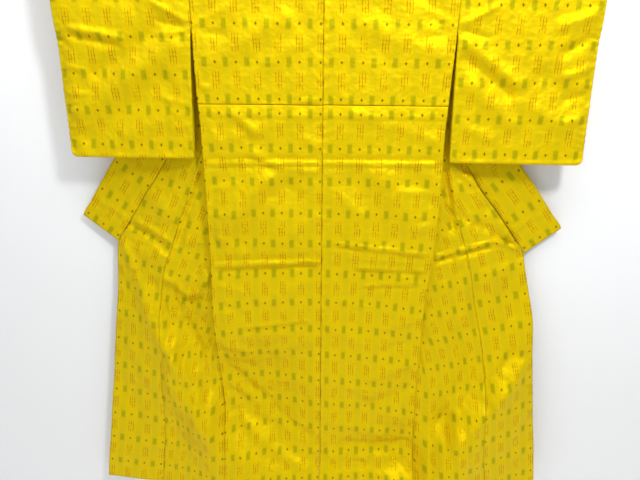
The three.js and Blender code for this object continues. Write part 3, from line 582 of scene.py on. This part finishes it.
def grid_mesh(name, parts, closed=False, leave_out=None):
    """One mesh from rows of points and their marks: quads between neighbours, each corner carrying
    its cloth position in metres as the map called cloth, then a wall of even thickness about it."""
    points, marks = parts
    rows, columns = points.shape[:2]
    index = np.arange(rows * columns).reshape(rows, columns)
    following = np.roll(index, -1, axis=0) if closed else index[1:]
    here = index if closed else index[:-1]
    quads = np.stack([here[:, :-1], here[:, 1:], following[:, 1:], following[:, :-1]], -1)
    keep = np.ones(quads.shape[:2], bool)
    if leave_out is not None:
        keep &= ~leave_out
    quads = quads[keep]
    mesh = bpy.data.meshes.new(name)
    mesh.vertices.add(rows * columns)
    mesh.vertices.foreach_set("co", (points / 1000).ravel())
    mesh.loops.add(quads.size)
    mesh.loops.foreach_set("vertex_index", quads.ravel())
    mesh.polygons.add(len(quads))
    mesh.polygons.foreach_set("loop_start", np.arange(0, quads.size, 4))
    mesh.update(calc_edges=True)
    mesh.polygons.foreach_set("use_smooth", np.ones(len(quads), bool))
    layer = mesh.uv_layers.new(name="cloth")
    layer.data.foreach_set("uv", (marks.reshape(-1, 2)[quads.ravel()] / 1000).ravel())
    mesh.validate()
    piece = bpy.data.objects.new(name, mesh)
    bpy.context.scene.collection.objects.link(piece)
    wall = piece.modifiers.new("wall", "SOLIDIFY")
    wall.thickness = CLOTH / 1000
    wall.offset = 0
    wall.use_even_offset = False
    return piece


def dress(piece, material, node):
    """The cloth's finish, its body, and the CAD node that it stands for."""
    piece.data.materials.append(material)
    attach(piece, "root")
    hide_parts(node)


def spaced(*ends):
    """Rows between the given lengths, each stretch with its own spacing: (to, step) pairs."""
    rows = [np.array([float(ends[0])])]
    for to, step in ends[1:]:
        start = rows[-1][-1]
        count = max(int(round((to - start) / step)), 1)
        rows.append(start + (to - start) * np.arange(1, count + 1) / count)
    return np.concatenate(rows)


def body_piece(side, material):
    """Body panel: the back from its hem up, over the shoulder, and the front down to its hem, one
    cloth. Beyond the neck slit the back and the front have separate rows."""
    start = TUCK[side] - REACH
    back = spaced(0, (QUARTER, 3.5), (100, 8), (start, 6))
    back = np.concatenate([back, start + FOLD[1:], start + FOLD[-1] + spaced(
        5, (BACK_HEM + HIDDEN - start - FOLD[-1], 5.5))])
    front = spaced(QUARTER / 6, (QUARTER, 3.5), (100, 8), (FRONT_HEM, 6.5))
    u = np.concatenate([
        np.linspace(0, 1, 22)[:-1], np.linspace(1, 2, 15)[:-1], np.linspace(2, 3, 34)])
    front_u = u.copy()
    front_u[-1] = 3 - GAP / 2 / OVERLAP_WIDTH
    back_points, back_marks = back_surface(side, *np.meshgrid(u, back[::-1]))
    back_points[:, -1, 0] = SIGN[side] * GAP / 2
    front_points, front_marks = front_surface(side, *np.meshgrid(front_u, front))
    points = np.concatenate([back_points, front_points])
    marks = np.concatenate([back_marks - BACK_PATTERN[side], front_marks - FRONT_PATTERN])
    hole = np.zeros((len(points) - 1, len(u) - 1), bool)
    hole[len(back) - 1, u[:-1] >= 1] = True
    piece = grid_mesh("body_panel_" + side, (points, marks), leave_out=hole)
    dress(piece, material, "body_" + side)
    (BACK_HEM + HIDDEN + FRONT_HEM) / 1000
    (300 * (BACK_HEM + HIDDEN) + 250 * FRONT_HEM) / 1e6


def overlap_piece(side, material):
    """Overlap panel, from its point on the collar seam to the hem."""
    u = np.linspace(3 + GAP / 2 / OVERLAP_WIDTH, 4, 30)
    points, marks = front_surface(side, *np.meshgrid(u, spaced(KENSAKI + 36, (FRONT_HEM, 6.5))))
    piece = grid_mesh("overlap_panel_" + side, (points, marks - OVERLAP_PATTERN))
    dress(piece, material, "overlap_" + side)


def sleeve_piece(side, material):
    """Sleeve: a flattened tube, open at both ends but sewn shut along its outer edge."""
    u = np.concatenate([np.linspace(0, 0.93, 56)[:-1], np.linspace(0.93, 1, 12)])
    straight = 1 - QUARTER / SLEEVE["drop"]
    wall = np.concatenate([np.linspace(0, 0.02, 6)[:-1], np.linspace(0.02, straight, 116)[:-1],
                           np.linspace(straight, 1, 7)])
    v = np.concatenate([wall, (2 - wall[1:-1])[::-1]])
    surface = sleeve_surface(side, *np.meshgrid(u, v))
    piece = grid_mesh("sleeve_cloth_" + side, surface, closed=True)
    dress(piece, material, "sleeve_" + side)


def collar_piece(material):
    """Wide collar, one strip from end to end round the neck."""
    half = np.concatenate([np.linspace(0, 1, 19), 1 + spaced(3, (60, 4), (COLLAR_END, 7))])
    v = np.concatenate([-half[:0:-1], half])
    piece = grid_mesh("collar_strip", collar_surface(*np.meshgrid(np.linspace(0, 1, 20), v)))
    dress(piece, material, "collar")


# Materials

class Value:
    """A socket that takes part in sums: each operator adds one Math node."""

    def __init__(self, paint, socket):
        self.paint, self.socket = paint, socket

    def _do(self, operation, *others):
        return self.paint.number("ShaderNodeMath", {"operation": operation}, (self, *others))

    def __add__(self, other):
        return self._do("ADD", other)

    def __radd__(self, other):
        return self._do("ADD", other)

    def __sub__(self, other):
        return self._do("SUBTRACT", other)

    def __rsub__(self, other):
        return self.paint.number("ShaderNodeMath", {"operation": "SUBTRACT"}, (other, self))

    def __mul__(self, other):
        return self._do("MULTIPLY", other)

    def __rmul__(self, other):
        return self._do("MULTIPLY", other)

    def maximum(self, other):
        return self._do("MAXIMUM", other)

    def wrapped(self, pitch, shift=0.0):
        """Distance from the nearest of the points shift + n pitch, with its sign."""
        return (self - (shift - pitch / 2))._do("FLOORED_MODULO", pitch) - pitch / 2

    def within(self, half, soft):
        """1 inside half of the zero line, falling to 0 over soft."""
        return self.paint.number("ShaderNodeMapRange", {"interpolation_type": "SMOOTHSTEP"}, (
            self._do("ABSOLUTE"), half - soft, half + soft, 1.0, 0.0))


class Paint:
    """A material's node tree, with one method that adds any node."""

    def __init__(self, name):
        self.material = bpy.data.materials.new(name)
        self.material.use_nodes = True
        self.tree = self.material.node_tree
        self.tree.nodes.clear()

    def node(self, kind, settings, inputs):
        node = self.tree.nodes.new(kind)
        for key, value in settings.items():
            setattr(node, key, value)
        items = inputs.items() if isinstance(inputs, dict) else enumerate(inputs)
        for key, value in items:
            if isinstance(value, Value):
                value = value.socket
            if isinstance(value, bpy.types.NodeSocket):
                self.tree.links.new(value, node.inputs[key])
            elif value is not None:
                node.inputs[key].default_value = value
        return node

    def number(self, kind, settings, inputs, output=0):
        return Value(self, self.node(kind, settings, inputs).outputs[output])

    def noise(self, place, scale, detail=2.0, stretch=(1, 1, 1)):
        mapped = self.node("ShaderNodeMapping", {}, {"Vector": place, "Scale": stretch})
        return self.number("ShaderNodeTexNoise", {"noise_dimensions": "3D"}, {
            "Vector": mapped.outputs[0], "Scale": scale, "Detail": detail})

    def blend(self, amount, first, second):
        node = self.node("ShaderNodeMix", {"data_type": "RGBA"}, {"Factor": amount})
        for key, colour in ((6, first), (7, second)):
            if isinstance(colour, bpy.types.NodeSocket):
                self.tree.links.new(colour, node.inputs[key])
            else:
                node.inputs[key].default_value = (*colour, 1)
        return node.outputs[2]

    def finish(self, inputs):
        shader = self.node("ShaderNodeBsdfPrincipled", {}, inputs)
        out = self.node("ShaderNodeOutputMaterial", {}, {})
        self.tree.links.new(shader.outputs[0], out.inputs[0])
        return self.material


YELLOW, YELLOW_SHADE, YELLOW_PALE = (0.80, 0.57, 0.002), (0.68, 0.46, 0.001), (0.90, 0.70, 0.004)
OLIVE, GREEN = (0.50, 0.46, 0.006), (0.33, 0.32, 0.002)
DARK, RED = (0.06, 0.04, 0.002), (0.42, 0.15, 0.002)
PALE_GREY = (0.93, 0.935, 0.94)


def silk():
    """Slub silk with its woven pattern, in cloth millimetres from the map called cloth: rows that
    alternate green blocks and small dark crosses, and between them ragged groups of red lines."""
    paint = Paint("silk_kasuri")
    place = paint.node("ShaderNodeUVMap", {"uv_map": "cloth"}, {}).outputs[0]
    flat = paint.node("ShaderNodeVectorMath", {"operation": "SCALE"},
                      {"Vector": place, "Scale": 1000.0}).outputs[0]
    split = paint.node("ShaderNodeSeparateXYZ", {}, {0: flat})
    x, y = (Value(paint, split.outputs[i]) for i in range(2))
    # Warp threads slip a little against each other, so every mark has ragged ends
    slip = paint.noise(flat, 1.0, 1.0, (0.9, 0.012, 1)) - 0.5
    wander = paint.noise(flat, 1.0, 1.0, (0.03, 0.03, 1)) - 0.5
    ragged = y + slip * 7.0 + wander * 3.0
    side = x + wander * 2.4 + (paint.noise(flat, 1.0, 1.0, (0.02, 0.5, 1)) - 0.5) * 1.6
    cross_x = side.wrapped(COLUMN_PITCH)
    green_x = side.wrapped(COLUMN_PITCH, COLUMN_PITCH / 2)
    row_y = ragged.wrapped(ROW_PITCH)
    between = ragged.wrapped(ROW_PITCH, ROW_PITCH / 2)
    green = green_x.within(5.6, 1.8) * row_y.within(11.0, 3.4)
    cross = cross_x.within(1.5, 0.7) * row_y.within(3.4, 1.2)
    cross = cross.maximum(cross_x.within(3.4, 1.0) * row_y.within(1.1, 0.6) * 0.75)
    # Three fine upright lines, broken along their length, and faint rungs between them
    broken = paint.noise(flat, 1.0, 1.0, (0.35, 0.045, 1)).within(0.57, 0.05)
    upright = cross_x.wrapped(6.6).within(0.62, 0.4) * cross_x.within(9.6, 0.8)
    lines = upright * between.within(20.0, 3.0) * broken
    rungs = between.wrapped(9.5).within(0.8, 0.6) * cross_x.within(8.5, 1.5) * between.within(11, 2)
    rungs = rungs * paint.noise(flat, 1.0, 0.0, (0.8, 0.1, 1)).within(0.5, 0.06) * 0.85
    # Threads: slubs along both ways of the weave, and a slow change of tone
    warp = paint.noise(flat, 1.0, 2.0, (1.1, 0.03, 1))
    weft = paint.noise(flat, 1.0, 2.0, (0.03, 1.1, 1))
    tone = paint.noise(flat, 1.0, 2.0, (0.012, 0.008, 1))
    stripe = green_x.within(9.0, 3.0) * 0.18
    ground = paint.blend(warp * 0.55 + weft * 0.45 - 0.05, YELLOW_SHADE, YELLOW_PALE)
    ground = paint.blend(tone * 0.6, ground, YELLOW)
    ground = paint.blend(stripe, ground, OLIVE)
    colour = paint.blend(green * (0.35 + warp * 0.6), ground, GREEN)
    colour = paint.blend((lines + rungs) * 0.95, colour, RED)
    colour = paint.blend(cross * 0.85, colour, DARK)
    threads = (paint.noise(flat, 1.0, 1.0, (2.6, 0.10, 1))
               + paint.noise(flat, 1.0, 1.0, (0.10, 2.6, 1)))
    # Small dents of handled silk, some 20 to 50 mm across, under the weave
    dents = (paint.noise(flat, 1.0, 2.5, (0.030, 0.022, 1))
             + paint.noise(flat, 1.0, 1.0, (0.05, 0.07, 1)) * 0.3)
    soft = paint.node("ShaderNodeBump", {}, {"Strength": 0.5, "Distance": 0.012, "Height": dents})
    height = paint.node("ShaderNodeBump", {}, {
        "Strength": 0.10, "Distance": 0.0004, "Height": threads + warp * 1.2 + weft * 1.4,
        "Normal": soft.outputs[0]})
    return paint.finish({
        "Base Color": colour, "Roughness": 0.49 + (warp * 0.08 + weft * 0.06),
        "Normal": height.outputs[0], "Metallic": 0.42, "Specular IOR Level": 0.35,
        "Specular Tint": (1.0, 0.84, 0.05, 1)})


def rail_wood():
    """Pale turned wood: rings stretched along the rail, fine pores, and a worn satin finish."""
    paint = Paint("rail_wood_grain")
    place = paint.node("ShaderNodeTexCoord", {}, {}).outputs["Object"]
    grain = paint.noise(place, 60.0, 4.0, (0.06, 1, 1))
    pores = paint.noise(place, 420.0, 2.0, (0.05, 1, 1))
    colour = paint.blend(grain, (0.30, 0.17, 0.07), (0.58, 0.38, 0.19))
    colour = paint.blend(pores.within(0.36, 0.05) * 0.5, colour, (0.20, 0.11, 0.05))
    bumps = paint.node("ShaderNodeBump", {}, {
        "Strength": 0.25, "Distance": 0.0004, "Height": grain + pores * 0.5})
    return paint.finish({"Base Color": colour, "Roughness": 0.38 + grain * 0.15,
                         "Normal": bumps.outputs[0]})


def wall_paint(name, front_only=False):
    """Matt pale paint, faintly mottled. With front_only its far side is clear, so that a wall
    behind the kimono doesn't hide it from behind."""
    paint = Paint(name)
    place = paint.node("ShaderNodeTexCoord", {}, {}).outputs["Object"]
    shade = paint.noise(place, 1.5, 3.0)
    darker = tuple(channel * 0.94 for channel in PALE_GREY)
    inputs = {"Base Color": paint.blend(shade * 0.25, PALE_GREY, darker), "Roughness": 0.9}
    if front_only:
        inputs["Alpha"] = 1 - paint.number("ShaderNodeNewGeometry", {}, {}, "Backfacing")
    return paint.finish(inputs)


# Stage, light and camera

def slab(name, corners, material):
    """One flat stage piece from its four corners."""
    mesh = bpy.data.meshes.new(name)
    mesh.from_pydata(corners, [], [(0, 1, 2, 3)])
    piece = bpy.data.objects.new(name, mesh)
    bpy.context.scene.collection.objects.link(piece)
    mesh.materials.append(material)
    return piece


def build_stage():
    """A pale floor, and a pale wall behind the kimono."""
    low, back = -1.76, 0.085
    slab("floor", [(-4, -5, low), (4, -5, low), (4, back, low), (-4, back, low)],
         wall_paint("pale_floor"))
    wall = slab("wall", [(-4, back, low), (4, back, low), (4, back, 1.6), (-4, back, 1.6)],
                wall_paint("pale_wall", front_only=True))
    wall.visible_shadow = False


def area_light(name, place, target, size, power):
    """A flat lamp at a place, turned towards its target; size in metres, power in watts."""
    lamp = bpy.data.lights.new(name, "AREA")
    lamp.shape = "RECTANGLE"
    lamp.size, lamp.size_y = size
    lamp.energy = power
    piece = bpy.data.objects.new(name, lamp)
    bpy.context.scene.collection.objects.link(piece)
    piece.location = place
    piece.rotation_euler = Vector(np.subtract(target, place)).to_track_quat("-Z", "Y").to_euler()


def build_lights():
    """A small key light from the upper right, a weak fill, a broad ceiling, and an even room."""
    area_light("window", (0.85, -1.4, 1.0), (0.05, 0, -0.40), (0.28, 0.28), 28)
    area_light("fill", (-1.2, -2.4, -0.2), (0, 0, -0.7), (2.0, 1.4), 5)
    area_light("ceiling", (-0.2, -0.8, 1.1), (0, 0, -0.6), (2.4, 0.6), 22)
    world = bpy.data.worlds.new("room")
    bpy.context.scene.world = world
    world.use_nodes = True
    room = world.node_tree.nodes["Background"]
    room.inputs["Color"].default_value = (0.95, 0.97, 1.0, 1)
    room.inputs["Strength"].default_value = 0.45


def build_camera():
    """The photograph's camera: place, yaw, pitch and roll, worked out from the garment's edges."""
    yaw, pitch, roll = (math.radians(a) for a in (2.10, -21.69, 0.47))
    look = np.array([-math.sin(yaw) * math.cos(pitch), math.cos(yaw) * math.cos(pitch),
                     math.sin(pitch)])
    right = np.array([math.cos(yaw), math.sin(yaw), 0.0])
    up = np.cross(right, look)
    right, up = (right * math.cos(roll) + up * math.sin(roll),
                 up * math.cos(roll) - right * math.sin(roll))
    data = bpy.data.cameras.new("camera")
    data.sensor_width, data.lens = 36, 34.875
    camera = bpy.data.objects.new("camera", data)
    bpy.context.scene.collection.objects.link(camera)
    turned = Matrix([[right[i], up[i], -look[i]] for i in range(3)]).to_4x4()
    turned.translation = (0.051, -1.509, -0.1264)
    camera.matrix_world = turned
    bpy.context.scene.camera = camera


build_camera()
silk_cloth = silk()
for side in SIGN:
    body_piece(side, silk_cloth)
    overlap_piece(side, silk_cloth)
    sleeve_piece(side, silk_cloth)
collar_piece(silk_cloth)
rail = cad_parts["rail"]
rail.data.materials.clear()
rail.data.materials.append(rail_wood())
build_stage()
build_lights()
bpy.context.scene.view_settings.view_transform = "Standard"
